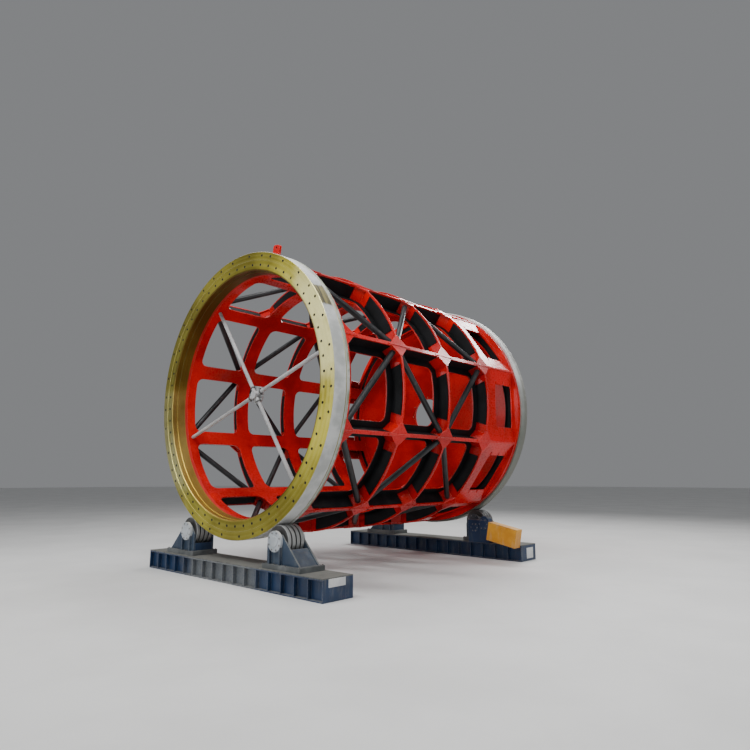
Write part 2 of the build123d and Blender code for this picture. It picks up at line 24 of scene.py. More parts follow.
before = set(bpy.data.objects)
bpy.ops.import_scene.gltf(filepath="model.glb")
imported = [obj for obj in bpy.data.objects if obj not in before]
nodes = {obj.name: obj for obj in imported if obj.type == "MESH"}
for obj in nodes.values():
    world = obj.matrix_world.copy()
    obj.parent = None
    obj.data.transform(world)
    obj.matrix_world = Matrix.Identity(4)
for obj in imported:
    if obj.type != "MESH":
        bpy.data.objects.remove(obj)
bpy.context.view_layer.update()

# Sizes shared with the CAD source: rings and their tapped holes
AXIS_HEIGHT = 3.28675
RING_RADIUS = 2.600
BORE_RADIUS = 2.250
RING_FRONT = -0.170
RING_FACE = -0.164
DRUM_END = 5.780
INNER_CIRCLE = 2.360
INNER_CIRCLE_COUNT = 60
OUTER_CIRCLE = 2.530
OUTER_HOLE_TURNS = (-12.0, -3.0, 3.0, 12.0)

# Cage, gusset boxes, diagonal tubes and rear section
SHELL_OUTER = 2.275
ROWS = 10
ROW_STEP = math.radians(36.0)
FIRST_ROW = math.radians(18.0)
HOOP_PITCH = 1.350
HOOPS = (0.200, 1.550, 2.900, 4.250)
NODE_REACH = 0.290
CORE_REACH, CORE_HOOP_TIP, CORE_ROW_TIP = 0.160, 0.016, 0.0264
TUBE_CENTRE, TUBE_RADIUS = 2.478, 0.055
SLOT_START = 4.710
FLANGE_STRIP_START = 5.380
FLANGE_FRONT = 5.440
END_PLATE_FRONT = 5.500

# Windows and their linings
STRIP_HALF = 0.140
HOOP_STRIP_HALF = 0.150
WINDOW_CORNER = 0.130
LINING_START = 0.335
LINING_THICKNESS = 0.015
ROW_WEB = 0.015

# Brace, stands and drive
HUB_FRONT, HUB_BACK = 0.307, 0.337
ARM_STATION = 0.272
ARM_ROWS = (0, 3, 5, 8)
ROLLER_X = 1.33818
ROLLER_HEIGHT = 0.770
ROLLER_RADIUS = 0.250
FRONT_STATION = 0.0
REAR_STATION = 5.660
COVER_FACE = 0.255
BED_TOP = 0.420
BASE_END = 2.550
CASE_FRONT = 5.250
GUARD_X, GUARD_FRONT, GUARD_HEIGHT = 2.218, 5.120, 0.548
GUARD_HALF_LENGTH, GUARD_HALF_HEIGHT = 0.345, 0.1925
GUARD_TILT = math.radians(-11.0)
MOTOR_X, MOTOR_STATION, MOTOR_HEIGHT, MOTOR_RADIUS = 2.150, 5.540, 0.500, 0.100

# Directions
FRONT, BACK = (0.0, -1.0, 0.0), (0.0, 1.0, 0.0)
RIGHT, UP = (1.0, 0.0, 0.0), (0.0, 0.0, 1.0)

# Where the paints and the bare metal of the rings meet
RIM_EDGE = (RING_RADIUS - 0.0045, RING_RADIUS - 0.0015)
REAR_EDGE = (DRUM_END - 0.0045, DRUM_END - 0.0015)
LAND_END = (0.112, 0.121)
HOLE_DEPTHS = (RING_FACE + 0.0015, 0.100)
HOLE_RADII = (2.300, 2.580)
PATCH_ANGLE = 0.58
REAR_RED_END = (5.70, 5.71)

# Half widths of the hard lines where the cage's nodes butt against each other
BUTT, THIN_BUTT = 0.009, 0.006

# Colours, as linear red, green and blue
RED_DARK, RED_LIGHT = (0.36, 0.0014, 0.0012), (0.60, 0.0030, 0.0022)
# The last tone here is that of the red's pale edges: edge wear, with a painted highlight where lamps glint on
# the glossy paint
RED_GRIME, RED_DUST, RED_EDGE_WEAR_AND_GLINT = (0.13, 0.003, 0.003), (0.50, 0.14, 0.11), (0.80, 0.36, 0.32)
BRASS_DARK, BRASS_LIGHT = (0.34, 0.285, 0.030), (0.58, 0.51, 0.070)
BRASS_BAND, BRASS_GROOVE, BRASS_STAIN = (0.72, 0.66, 0.16), (0.30, 0.26, 0.04), (0.34, 0.19, 0.03)
# The next two lines hold painted light: fans of painted highlight and painted shade, the edges' painted
# highlight, the bore's painted light and shade, and the tapped holes' painted shade
BRASS_PAINTED_SHADE, BRASS_PAINTED_HIGHLIGHT, BRASS_EDGE_HIGHLIGHT = (0.170, 0.138, 0.015), (0.88, 0.85, 0.50), (0.90, 0.84, 0.50)
BORE_PAINTED_SHADE, BORE_PAINTED_HIGHLIGHT, HOLE_WALL_SHADE = (0.085, 0.040, 0.008), (0.80, 0.60, 0.13), (0.010, 0.009, 0.007)
PRIMER_DARK, PRIMER_LIGHT, PRIMER_GRIME = (0.36, 0.37, 0.36), (0.54, 0.55, 0.54), (0.17, 0.20, 0.12)
BARE_DARK, BARE_LIGHT = (0.022, 0.019, 0.005), (0.20, 0.165, 0.045)
REAR_PRIMER_DARK, REAR_PRIMER_LIGHT = (0.42, 0.43, 0.43), (0.62, 0.62, 0.61)
REAR_SHADE, REAR_GRIME = (0.10, 0.115, 0.09), (0.15, 0.15, 0.13)
REAR_BRASS_DARK, REAR_BRASS_LIGHT = (0.34, 0.27, 0.045), (0.60, 0.51, 0.13)
RUBBER_DARK, RUBBER_LIGHT = (0.0020, 0.0022, 0.0027), (0.0065, 0.0070, 0.0085)
RUBBER_DUST = (0.09, 0.085, 0.08)
TUBE_DARK, TUBE_LIGHT, TUBE_SCUFF = (0.010, 0.011, 0.012), (0.030, 0.032, 0.035), (0.11, 0.11, 0.11)
RUBBED, RUST, CHIPS = (0.16, 0.17, 0.17), (0.20, 0.075, 0.025), (0.34, 0.32, 0.30)
NAVY_DARK, NAVY_LIGHT, NAVY_CHIPS = (0.008, 0.026, 0.070), (0.016, 0.045, 0.105), (0.30, 0.30, 0.28)
BED_DUST_DARK, BED_DUST_LIGHT = (0.085, 0.090, 0.085), (0.17, 0.175, 0.165)
GREASE = (0.035, 0.032, 0.030)
FLOOR_DARK, FLOOR_LIGHT = (0.70, 0.70, 0.69), (0.76, 0.76, 0.75)
AIR = (0.90, 0.92, 0.95, 1.0)


# Materials
class Look:
    """One procedural material that is built up node by node."""

    def __init__(self, name, metallic=0.0, specular=0.5, coat=0.0, coat_roughness=0.1):
        self.material = bpy.data.materials.new(name)
        self.material.use_nodes = True
        self.tree = self.material.node_tree
        self.shader = self.tree.nodes["Principled BSDF"]
        self.shader.inputs["Metallic"].default_value = metallic
        self.shader.inputs["Specular IOR Level"].default_value = specular
        self.shader.inputs["Coat Weight"].default_value = coat
        self.shader.inputs["Coat Roughness"].default_value = coat_roughness
        coordinates = self.tree.nodes.new("ShaderNodeTexCoord")
        self.place = coordinates.outputs["Object"]
        self.facing = coordinates.outputs["Normal"]

    def put(self, kind, inputs=(), **settings):
        """New node; an input is a number, a colour or another node's output."""
        node = self.tree.nodes.new("ShaderNode" + kind)
        for key, value in settings.items():
            setattr(node, key, value)
        for socket, value in dict(inputs).items():
            if isinstance(value, bpy.types.NodeSocket):
                self.tree.links.new(value, node.inputs[socket])
            else:
                node.inputs[socket].default_value = value
        return node

    def link(self, value, socket):
        self.tree.links.new(value, self.shader.inputs[socket])

    # Sums
    def maths(self, operation, first, second=0.0):
        return self.put("Math", {0: first, 1: second}, operation=operation).outputs[0]

    def plus(self, first, second):
        return self.maths("ADD", first, second)

    def minus(self, first, second):
        return self.maths("SUBTRACT", first, second)

    def times(self, first, second):
        return self.maths("MULTIPLY", first, second)

    def larger(self, first, second):
        return self.maths("MAXIMUM", first, second)

    def span(self, value, low, high, to_low=0.0, to_high=1.0):
        """Smooth step between two values; it falls where the first is the larger."""
        values = {"Value": value, "From Min": low, "From Max": high, "To Min": to_low, "To Max": to_high}
        return self.put("MapRange", values, interpolation_type="SMOOTHSTEP").outputs["Result"]

    def fall(self, value, low, high):
        """1 under the first value, 0 over the second."""
        return self.span(value, low, high, 1.0, 0.0)

    def between(self, value, low, high):
        """1 from one value to another, 0 elsewhere."""
        return self.times(self.maths("GREATER_THAN", value, low), self.maths("LESS_THAN", value, high))

    def near(self, value, place, reach):
        """1 close to a place along a value, 0 elsewhere."""
        return self.maths("LESS_THAN", self.maths("ABSOLUTE", self.minus(value, place)), reach)

    def mix_number(self, factor, first, second):
        return self.put("Mix", {0: factor, 2: first, 3: second}, data_type="FLOAT").outputs[0]

    # Places
    def split(self, vector):
        parts = self.put("SeparateXYZ", {0: vector}).outputs
        return parts[0], parts[1], parts[2]

    def distance(self, x, z):
        flat = self.put("CombineXYZ", {0: x, 2: z}).outputs[0]
        return self.put("VectorMath", {0: flat}, operation="LENGTH").outputs["Value"]

    def round_axis(self):
        """Distance from the drum's axis, place along it and angle round it."""
        px, py, pz = self.split(self.place)
        drop = self.minus(pz, AXIS_HEIGHT)
        return self.distance(px, drop), py, self.maths("ARCTAN2", drop, px)

    def rings(self, radius, along, scale):
        """Place that is the same all round the axis, as a lathe leaves its marks."""
        return self.put("CombineXYZ", {0: self.times(radius, scale), 1: self.times(along, scale)}).outputs[0]

    def stretched(self, scale):
        return self.put("Mapping", {"Vector": self.place, "Scale": scale}).outputs["Vector"]

    # Patterns
    def noise(self, scale, detail=4.0, roughness=0.55, place=None):
        values = {
            "Vector": place or self.place,
            "Scale": scale,
            "Detail": detail,
            "Roughness": roughness,
        }
        return self.put("TexNoise", values).outputs["Fac"]

    def butt_joints(self):
        """1 where the cage's nodes butt against each other, which the real cage hides under its paint."""
        radius, along, angle = self.round_axis()
        from_hoop = self.maths("PINGPONG", self.minus(along, HOOPS[0]), HOOP_PITCH / 2)
        from_row = self.maths("PINGPONG", self.minus(angle, FIRST_ROW), ROW_STEP / 2)
        aside = self.times(radius, self.maths("SINE", from_row))
        joints = self.larger(self.near(from_hoop, NODE_REACH, BUTT), self.near(aside, NODE_REACH, BUTT))
        for station, reach in ((FLANGE_STRIP_START, BUTT), (FLANGE_FRONT, THIN_BUTT), (SLOT_START, THIN_BUTT)):
            joints = self.larger(joints, self.near(along, station, reach))
        return joints

    def edges(self, radius):
        """1 on sharp edges, 0 on flat areas."""
        soft = self.put("Bevel", {"Radius": radius}, samples=4).outputs[0]
        hard = self.put("NewGeometry").outputs["Normal"]
        apart = self.put("VectorMath", {0: soft, 1: hard}, operation="DISTANCE").outputs["Value"]
        return self.span(apart, 0.15, 0.5)

    def worn_and_glinting_edges(self, radius, fine, low, high):
        """Sharp edges, broken up by a fine pattern: worn edges, and on the red paint also a painted edge
        highlight.
        """
        return self.times(self.edges(radius), self.span(fine, low, high))

    def up(self, low, high):
        """1 where the surface faces up."""
        return self.span(self.split(self.facing)[2], low, high)

    # Colours
    def mix(self, factor, first, second):
        values = {0: factor, 6: with_alpha(first), 7: with_alpha(second)}
        return self.put("Mix", values, data_type="RGBA").outputs[2]

    def tones(self, pattern, dark, light, high=0.65):
        """Soft clouds of two tones."""
        return self.mix(self.span(pattern, 0.35, high), dark, light)

    def tint(self, colour, mask, share, tone):
        """A share of another tone where the mask is 1."""
        return self.mix(self.times(mask, share), colour, tone)

    def gloss(self, fine, low, high):
        """Roughness that changes a little with a fine pattern."""
        return self.span(fine, 0.3, 0.7, low, high)

    def finish(self, colour, roughness, bump, strength, distance=0.002, soften=0.0, plain=None):
        """Link the last values; soften rounds the edges, except where plain is 1."""
        self.link(colour, "Base Color")
        self.link(roughness, "Roughness")
        values = {"Strength": strength, "Distance": distance, "Height": bump}
        if soften:
            values["Normal"] = self.put("Bevel", {"Radius": soften}, samples=4).outputs[0]
        if plain:
            hard = self.put("NewGeometry").outputs["Normal"]
            inputs = {0: plain, 4: values["Normal"], 5: hard}
            values["Normal"] = self.put("Mix", inputs, data_type="VECTOR").outputs[1]
        self.link(self.put("Bump", values).outputs[0], "Normal")
        return self.material


def with_alpha(colour):
    return (*colour, 1.0) if isinstance(colour, tuple) and len(colour) == 3 else colour


def red_paint():
    look = Look("red_paint", specular=0.20, coat=0.12, coat_roughness=0.07)
    fine = look.noise(26.0, 6.0, 0.6)
    colour = look.tones(look.noise(1.3, 3.0), RED_DARK, RED_LIGHT)
    colour = look.tint(colour, look.span(look.noise(5.0, 6.0, 0.65), 0.58, 0.80), 0.45, RED_GRIME)
    dust = look.times(look.up(0.6, 1.0), look.span(look.noise(9.0, 5.0), 0.45, 0.75))
    colour = look.tint(colour, dust, 0.18, RED_DUST)
    joints = look.butt_joints()
    # Pale edges: edge wear, with a painted highlight where lamps glint on the glossy paint; none on the butt
    # joints
    edge_wear_and_glint = look.times(look.worn_and_glinting_edges(0.007, fine, 0.30, 0.55), look.minus(1.0, joints))
    colour = look.tint(colour, edge_wear_and_glint, 0.50, RED_EDGE_WEAR_AND_GLINT)
    height = look.plus(fine, look.times(look.noise(140.0, 3.0), 0.25))
    return look.finish(colour, look.gloss(fine, 0.22, 0.38), height, 0.10, 0.002, 0.005, joints)


def machined_ring():
    look = Look("machined_ring", metallic=0.90)
    radius, along, angle = look.round_axis()
    turned = look.noise(1.0, 5.0, 0.7, look.rings(radius, along, 140.0))
    bands = look.noise(1.0, 2.0, 0.5, look.rings(radius, along, 22.0))
    clouds = look.noise(1.1)
    stain = look.noise(4.0, 6.0, 0.6)
    brass = look.tones(clouds, BRASS_DARK, BRASS_LIGHT)
    brass = look.tint(brass, look.span(bands, 0.42, 0.60), 0.35, BRASS_BAND)
    brass = look.tint(brass, look.span(turned, 0.40, 0.62), 0.25, BRASS_GROOVE)
    brass = look.tint(brass, look.span(stain, 0.58, 0.74), 0.4, BRASS_STAIN)
    # Painted highlights and painted shade in fans round the ring, where a turned face would reflect the lamps
    unrest = look.minus(clouds, 0.5)
    painted_fan = look.maths("COSINE", look.minus(look.times(angle, 2.0), 0.75))
    painted_fan = look.plus(painted_fan, look.times(unrest, 1.6))
    brass = look.tint(brass, look.span(painted_fan, 0.35, -0.85), 0.50, BRASS_PAINTED_SHADE)
    brass = look.tint(brass, look.span(painted_fan, 0.45, 1.05), 0.55, BRASS_PAINTED_HIGHLIGHT)
    # Painted light in the bore by its angle round the axis: a painted highlight at the lower left and dark
    # brown painted shade elsewhere
    bore = look.span(radius, BORE_RADIUS + 0.05, BORE_RADIUS + 0.02)
    bore_painted_light = look.plus(look.maths("COSINE", look.plus(angle, 2.25)), look.times(unrest, 0.9))
    bore_painted_tone = look.mix(look.span(bore_painted_light, 0.30, 1.05), BORE_PAINTED_SHADE, BORE_PAINTED_HIGHLIGHT)
    brass = look.tint(brass, bore, 0.80, bore_painted_tone)
    # Rim: primer with a grimy back edge and a bare patch
    primer = look.tones(look.noise(3.0, 5.0), PRIMER_DARK, PRIMER_LIGHT)
    grimy = look.times(look.span(along, 0.085, 0.15), look.span(look.noise(6.0, 5.0), 0.33, 0.58))
    primer = look.mix(grimy, primer, PRIMER_GRIME)
    off_patch = look.maths("ABSOLUTE", look.minus(angle, PATCH_ANGLE))
    patch = look.fall(look.plus(off_patch, look.times(stain, 0.10)), 0.125, 0.150)
    patch = look.times(patch, look.fall(along, 0.05, 0.08))
    streaks = look.noise(1.0, 3.0, 0.6, look.stretched((1.5, 14.0, 1.5)))
    bare = look.mix(look.span(streaks, 0.42, 0.58), BARE_DARK, BARE_LIGHT)
    primer = look.tint(primer, patch, 0.95, bare)
    rim = look.span(radius, *RIM_EDGE)
    colour = look.mix(rim, brass, primer)
    # Red paint covers the bore beyond the machined land, and the back face
    painted = look.times(look.span(along, *LAND_END), look.fall(radius, *RIM_EDGE))
    colour = look.mix(painted, colour, look.tones(clouds, RED_DARK, RED_LIGHT))
    # Painted highlights on the ring's sharp edges, fainter in the bore
    edge_highlight = look.times(look.edges(0.005), look.span(bore, 0.2, 0.8, 0.6, 0.1))
    colour = look.mix(edge_highlight, colour, BRASS_EDGE_HIGHLIGHT)
    # Walls of the tapped holes, painted near black as shade: away from the face, between the bore and the rim
    hole = look.times(look.between(along, *HOLE_DEPTHS), look.between(radius, *HOLE_RADII))
    colour = look.mix(hole, colour, HOLE_WALL_SHADE)
    covered = look.larger(look.larger(rim, painted), hole)
    metal = look.times(look.minus(1.0, covered), 0.90)
    look.link(metal, "Metallic")
    look.link(look.put("Tangent", direction_type="RADIAL", axis="Y").outputs[0], "Tangent")
    look.link(look.times(metal, 0.85), "Anisotropic")
    roughness = look.mix_number(covered, look.gloss(turned, 0.26, 0.38), 0.55)
    height = look.plus(turned, look.times(stain, 0.3))
    return look.finish(colour, roughness, height, 0.08, 0.001, 0.004)


def rear_ring_paint():
    look = Look("rear_ring_paint", metallic=0.1)
    radius, along, _ = look.round_axis()
    clouds = look.noise(1.6, 5.0)
    fine = look.noise(40.0, 5.0)
    primer = look.tones(clouds, REAR_PRIMER_DARK, REAR_PRIMER_LIGHT)
    low = look.fall(look.plus(look.split(look.place)[2], clouds), 2.8, 5.4)
    primer = look.tint(primer, low, 0.9, REAR_SHADE)
    streaks = look.span(look.noise(7.0, 5.0), 0.30, 0.50, 0.4, 1.0)
    primer = look.tint(primer, look.times(look.span(along, 5.60, 5.70), streaks), 0.75, REAR_GRIME)
    back = look.times(look.span(along, *REAR_EDGE), look.fall(radius, *RIM_EDGE))
    colour = look.mix(back, primer, look.tones(clouds, REAR_BRASS_DARK, REAR_BRASS_LIGHT))
    inner = look.span(radius, BORE_RADIUS + 0.005, BORE_RADIUS + 0.002)
    colour = look.mix(look.times(inner, look.fall(along, *REAR_RED_END)), colour, RED_LIGHT)
    roughness = look.mix_number(look.span(radius, *RIM_EDGE), look.gloss(fine, 0.3, 0.45), 0.6)
    return look.finish(colour, roughness, fine, 0.12, 0.001, 0.004)


def rubber():
    look = Look("black_rubber_lining", specular=0.16)
    broad = look.noise(2.2, 5.0)
    fine = look.noise(60.0, 5.0, 0.65)
    colour = look.tones(broad, RUBBER_DARK, RUBBER_LIGHT, 0.7)
    dust = look.times(look.up(0.2, 0.9), look.span(look.noise(7.0, 6.0), 0.45, 0.7))
    colour = look.tint(colour, dust, 0.14, RUBBER_DUST)
    height = look.plus(look.times(broad, 2.0), look.times(fine, 0.3))
    return look.finish(colour, look.gloss(fine, 0.45, 0.65), height, 0.30, 0.006, 0.004)


def tube_wrap():
    look = Look("dark_tube", metallic=0.15, specular=0.40)
    fine = look.noise(45.0, 5.0, 0.6)
    colour = look.tones(look.noise(1.6), TUBE_DARK, TUBE_LIGHT)
    colour = look.tint(colour, look.span(look.noise(8.0, 6.0, 0.7), 0.58, 0.75), 0.5, TUBE_SCUFF)
    return look.finish(colour, look.gloss(fine, 0.28, 0.46), fine, 0.15, 0.002, 0.003)


def dusty_paint(name, dark, light, dust, dust_share, roughness, chips=CHIPS, rubbed_span=None):
    """Worn shop paint with dust on top, chipped edges and a little rust.

    Between the two x of rubbed_span it is rubbed bare and dusty.
    """
    look = Look(name, specular=0.45)
    broad = look.noise(2.4, 5.0)
    fine = look.noise(34.0, 6.0, 0.6)
    colour = look.tones(broad, dark, light)
    if rubbed_span:
        start_x, end_x = rubbed_span
        place_x = look.plus(look.split(look.place)[0], look.times(broad, 0.3))
        start = look.span(place_x, start_x - 0.25, start_x + 0.20)
        rubbed = look.times(start, look.fall(place_x, end_x - 0.25, end_x + 0.20))
        rubbed = look.times(rubbed, look.span(fine, 0.3, 0.6, 0.45, 0.85))
        colour = look.mix(rubbed, colour, RUBBED)
    streaks = look.noise(9.0, 5.0, 0.6, look.stretched((1.0, 1.0, 0.25)))
    colour = look.tint(colour, look.span(streaks, 0.50, 0.72), 0.35, dust)
    colour = look.tint(colour, look.span(look.noise(12.0, 7.0, 0.7), 0.60, 0.72), 0.15, RUST)
    settled = look.times(look.up(0.25, 0.8), look.span(look.noise(6.0, 6.0), 0.22, 0.55, 0.5, 1.0))
    colour = look.tint(colour, settled, dust_share, dust)
    colour = look.tint(colour, look.worn_and_glinting_edges(0.006, fine, 0.35, 0.6), 0.7, chips)
    roughness = look.span(look.plus(fine, settled), 0.4, 1.2, *roughness)
    height = look.plus(fine, look.times(streaks, 0.6))
    return look.finish(colour, roughness, height, 0.22, 0.002, 0.005)


def bracket_backs_paint():
    """Navy plates between the brackets' sides, on beds that are grey with dust."""
    look = Look("bed_and_back_paint", specular=0.40)
    broad = look.noise(3.0, 5.0)
    fine = look.noise(34.0, 6.0, 0.6)
    bed = look.fall(look.split(look.place)[2], BED_TOP + 0.002, BED_TOP + 0.012)
    settled = look.times(look.up(0.3, 0.9), look.span(fine, 0.3, 0.6, 0.3, 0.8))
    navy = look.tones(broad, NAVY_DARK, NAVY_LIGHT)
    dusty = look.tones(broad, BED_DUST_DARK, BED_DUST_LIGHT)
    colour = look.mix(look.larger(look.times(bed, 0.85), settled), navy, dusty)
    colour = look.tint(colour, look.worn_and_glinting_edges(0.006, fine, 0.35, 0.6), 0.6, NAVY_CHIPS)
    return look.finish(colour, look.gloss(fine, 0.45, 0.7), fine, 0.2, 0.002, 0.005)


def roller_steel(name, dark, light, tread_colour):
    look = Look(name, metallic=0.35)
    px, _, pz = look.split(look.place)
    aside = look.minus(look.maths("ABSOLUTE", px), ROLLER_X)
    radius = look.distance(aside, look.minus(pz, ROLLER_HEIGHT))
    fine = look.noise(30.0, 5.0)
    colour = look.tones(look.noise(5.0, 5.0), dark, light)
    tread = look.span(radius, ROLLER_RADIUS - 0.006, ROLLER_RADIUS - 0.002)
    colour = look.tint(colour, tread, 0.8, tread_colour)
    greasy = look.span(radius, ROLLER_RADIUS - 0.008, ROLLER_RADIUS - 0.022)
    colour = look.tint(colour, greasy, 0.75, GREASE)
    return look.finish(colour, look.gloss(fine, 0.32, 0.5), fine, 0.15, 0.001, 0.003)


RED = red_paint()
BRASS = machined_ring()
REAR_RING = rear_ring_paint()
RUBBER = rubber()
TUBE = tube_wrap()
BACKS = bracket_backs_paint()

# Rollers: dark and light tone, and the tread's colour
ROLLER = roller_steel("roller_steel", (0.06, 0.062, 0.065), (0.15, 0.153, 0.157), (0.34, 0.345, 0.34))
DARK_ROLLER = roller_steel("dark_roller_steel", (0.05, 0.052, 0.055), (0.12, 0.122, 0.125), (0.17, 0.17, 0.17))

# Paints: dark tone, light tone and dust, the dust's share, and the lowest and highest roughness
BRACE_TONES = (0.24, 0.245, 0.25), (0.38, 0.385, 0.39), (0.42, 0.41, 0.39)
COVER_TONES = (0.30, 0.33, 0.36), (0.44, 0.47, 0.50), (0.58, 0.57, 0.54)
DARK_COVER_TONES = (0.035, 0.045, 0.060), (0.07, 0.08, 0.095), (0.16, 0.16, 0.15)
BLUE_TONES = (0.005, 0.020, 0.060), (0.010, 0.034, 0.092), (0.13, 0.135, 0.13)
BRACKET_TONES = (0.016, 0.034, 0.066), (0.045, 0.070, 0.105), (0.17, 0.175, 0.165)
DECK_TONES = (0.055, 0.060, 0.058), (0.11, 0.115, 0.108), (0.17, 0.168, 0.150)
GUARD_TONES = (0.58, 0.24, 0.012), (0.74, 0.36, 0.025), (0.55, 0.44, 0.28)
STEEL_TONES = (0.10, 0.10, 0.10), (0.20, 0.20, 0.20), (0.34, 0.33, 0.31)
DARK_STEEL_TONES = (0.02, 0.02, 0.02), (0.05, 0.05, 0.05), (0.14, 0.13, 0.12)
# Near-black tones of the countersinks: painted shade in the tapped holes
SINK_SHADE_TONES = (0.004, 0.0035, 0.003), (0.010, 0.009, 0.006), (0.02, 0.018, 0.012)
PLATE_TONES = (0.52, 0.53, 0.54), (0.66, 0.67, 0.67), (0.58, 0.56, 0.52)
SINK_SHADE_EDGE = (0.01, 0.01, 0.01)
RUBBED_RAIL_SPAN = (-1.00, 1.10)

BRACE = dusty_paint("brace_paint", *BRACE_TONES, 0.4, (0.42, 0.62))
COVER = dusty_paint("cover_paint", *COVER_TONES, 0.7, (0.45, 0.7))
DARK_COVER = dusty_paint("dark_cover_paint", *DARK_COVER_TONES, 0.6, (0.45, 0.7))
BLUE = dusty_paint("stand_paint", *BLUE_TONES, 0.75, (0.4, 0.75))
RUBBED_BLUE = dusty_paint("front_rail_paint", *BLUE_TONES, 0.75, (0.4, 0.75), rubbed_span=RUBBED_RAIL_SPAN)
DUSTY_BLUE = dusty_paint("bracket_paint", *BRACKET_TONES, 0.85, (0.5, 0.8))
DECK = dusty_paint("deck_paint", *DECK_TONES, 0.75, (0.55, 0.8))
GUARD = dusty_paint("guard_paint", *GUARD_TONES, 0.35, (0.4, 0.65))
STEEL = dusty_paint("bolt_steel", *STEEL_TONES, 0.4, (0.35, 0.55))
DARK_STEEL = dusty_paint("dark_bolt_steel", *DARK_STEEL_TONES, 0.3, (0.35, 0.55))
SINK_SHADE = dusty_paint("hole_shade", *SINK_SHADE_TONES, 0.1, (0.6, 0.8), SINK_SHADE_EDGE)
PLATE = dusty_paint("bare_plate", *PLATE_TONES, 0.3, (0.35, 0.55))

# CAD nodes that aren't red
LOOKS = {
    "front_ring": BRASS,
    "rear_ring": REAR_RING,
    "row_linings": RUBBER,
    "hoop_linings": RUBBER,
    "front_diagonals": TUBE,
    "middle_diagonals": TUBE,
    "back_diagonals": TUBE,
    "spider_hub": BRACE,
    "spider_arms": BRACE,
    "drive_guard": GUARD,
    "drive_motor": BLUE,
    "drive_gear_case": BLUE,
    "front_left_roller": ROLLER,
    "front_right_roller": ROLLER,
    "rear_left_roller": DARK_ROLLER,
    "rear_right_roller": DARK_ROLLER,
    "front_bearing_covers": COVER,
    "rear_bearing_covers": DARK_COVER,
    "front_bracket_sides": DUSTY_BLUE,
    "rear_bracket_sides": DUSTY_BLUE,
    "front_bracket_backs": BACKS,
    "rear_bracket_backs": BACKS,
    "front_deck": DECK,
    "rear_deck": DECK,
    "front_base_rails": RUBBED_BLUE,
    "rear_base_rails": BLUE,
    "front_base_crossbeams": BLUE,
    "rear_base_crossbeams": BLUE,
}
for name, node in nodes.items():
    for slot in node.material_slots:
        slot.material = LOOKS.get(name, RED)

# Detail pieces
BEVEL_SEGMENTS = 2
SHARP_ANGLE = math.radians(35.0)
WOBBLE_RATES = (2.4, 1.1)


class Shape:
    """Mesh of one detail piece, made in the part's frame and laid on a body at the end."""

    def __init__(self, name, look, body):
        self.name, self.look, self.body = name, look, body
        self.mesh = bmesh.new()

    def prism(self, outline, start, end, at):
        """Closed outline pushed between two heights; at(u, v, w) gives the place of a point."""
        lower = [self.mesh.verts.new(at(u, v, start)) for u, v in outline]
        upper = [self.mesh.verts.new(at(u, v, end)) for u, v in outline]
        for index in range(len(outline)):
            after = (index + 1) % len(outline)
            self.mesh.faces.new((lower[index], lower[after], upper[after], upper[index]))
        self.mesh.faces.new(tuple(reversed(lower)))
        self.mesh.faces.new(tuple(upper))

    def join(self, rings, closed):
        """Skin between rings of points, with lids unless they close into a loop."""
        pairs = list(zip(rings, rings[1:])) + ([(rings[-1], rings[0])] if closed else [])
        for first, second in pairs:
            for step in range(len(first)):
                after = (step + 1) % len(first)
                self.mesh.faces.new((first[step], first[after], second[after], second[step]))
        if not closed:
            self.mesh.faces.new(tuple(reversed(rings[0])))
            self.mesh.faces.new(tuple(rings[-1]))

    def lathe(self, profile, at, segments, closed=False):
        """Profile of (radius, height) points turned round the local w axis."""
        rings = []
        for radius, height in profile:
            turns = [2.0 * math.pi * step / segments for step in range(segments)]
            points = [at(radius * math.cos(turn), radius * math.sin(turn), height) for turn in turns]
            rings.append([self.mesh.verts.new(point) for point in points])
        self.join(rings, closed)

    def bead(self, points, radius, sides, closed, wobble):
        """Round bead along a line of points, such as a weld."""
        rings = []
        count = len(points)
        fast, slow = WOBBLE_RATES
        for index, point in enumerate(points):
            before = points[index - 1] if index or closed else point
            after = points[(index + 1) % count] if index + 1 < count or closed else point
            along = (after - before).normalized()
            side = along.orthogonal().normalized()
            over = along.cross(side)
            grown = radius * (1.0 + wobble * math.sin(index * fast) * math.cos(index * slow))
            ring = []
            for step in range(sides):
                turn = 2.0 * math.pi * step / sides
                way = side * math.cos(turn) + over * math.sin(turn)
                ring.append(self.mesh.verts.new(point + way * grown))
            rings.append(ring)
        self.join(rings, closed)

    def done(self, bevel=0.0):
        bmesh.ops.recalc_face_normals(self.mesh, faces=self.mesh.faces)
        data = bpy.data.meshes.new(self.name)
        self.mesh.to_mesh(data)
        self.mesh.free()
        data.materials.append(self.look)
        piece = bpy.data.objects.new(self.name, data)
        bpy.context.scene.collection.objects.link(piece)
        if bevel:
            edge = piece.modifiers.new("soft_edges", "BEVEL")
            edge.width, edge.segments, edge.limit_method = bevel, BEVEL_SEGMENTS, "ANGLE"
        data.shade_smooth()
        data.set_sharp_from_angle(angle=SHARP_ANGLE)
        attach(piece, self.body)


# Places: each gives a function from u, v and w to a point
def wrapped(angle, station, radius):
    """Place on the drum: u runs round it, v along it and w outward."""

    def at(u, v, w):
        turn = angle + u / radius
        reach = radius + w
        return Vector((reach * math.cos(turn), station + v, AXIS_HEIGHT + reach * math.sin(turn)))

    return at


def straight(angle, station, radius):
    """Flat place on the drum: u runs square to the row, v along the drum and w outward."""
    out = Vector((math.cos(angle), 0.0, math.sin(angle)))
    aside = Vector((-math.sin(angle), 0.0, math.cos(angle)))
    middle = Vector((0.0, station, AXIS_HEIGHT)) + out * radius

    def at(u, v, w):
        return middle + aside * u + Vector((0.0, v, 0.0)) + out * w

    return at


def shifted(at, shift):
    """The same place, moved."""
    return lambda u, v, w: at(u, v, w) + shift


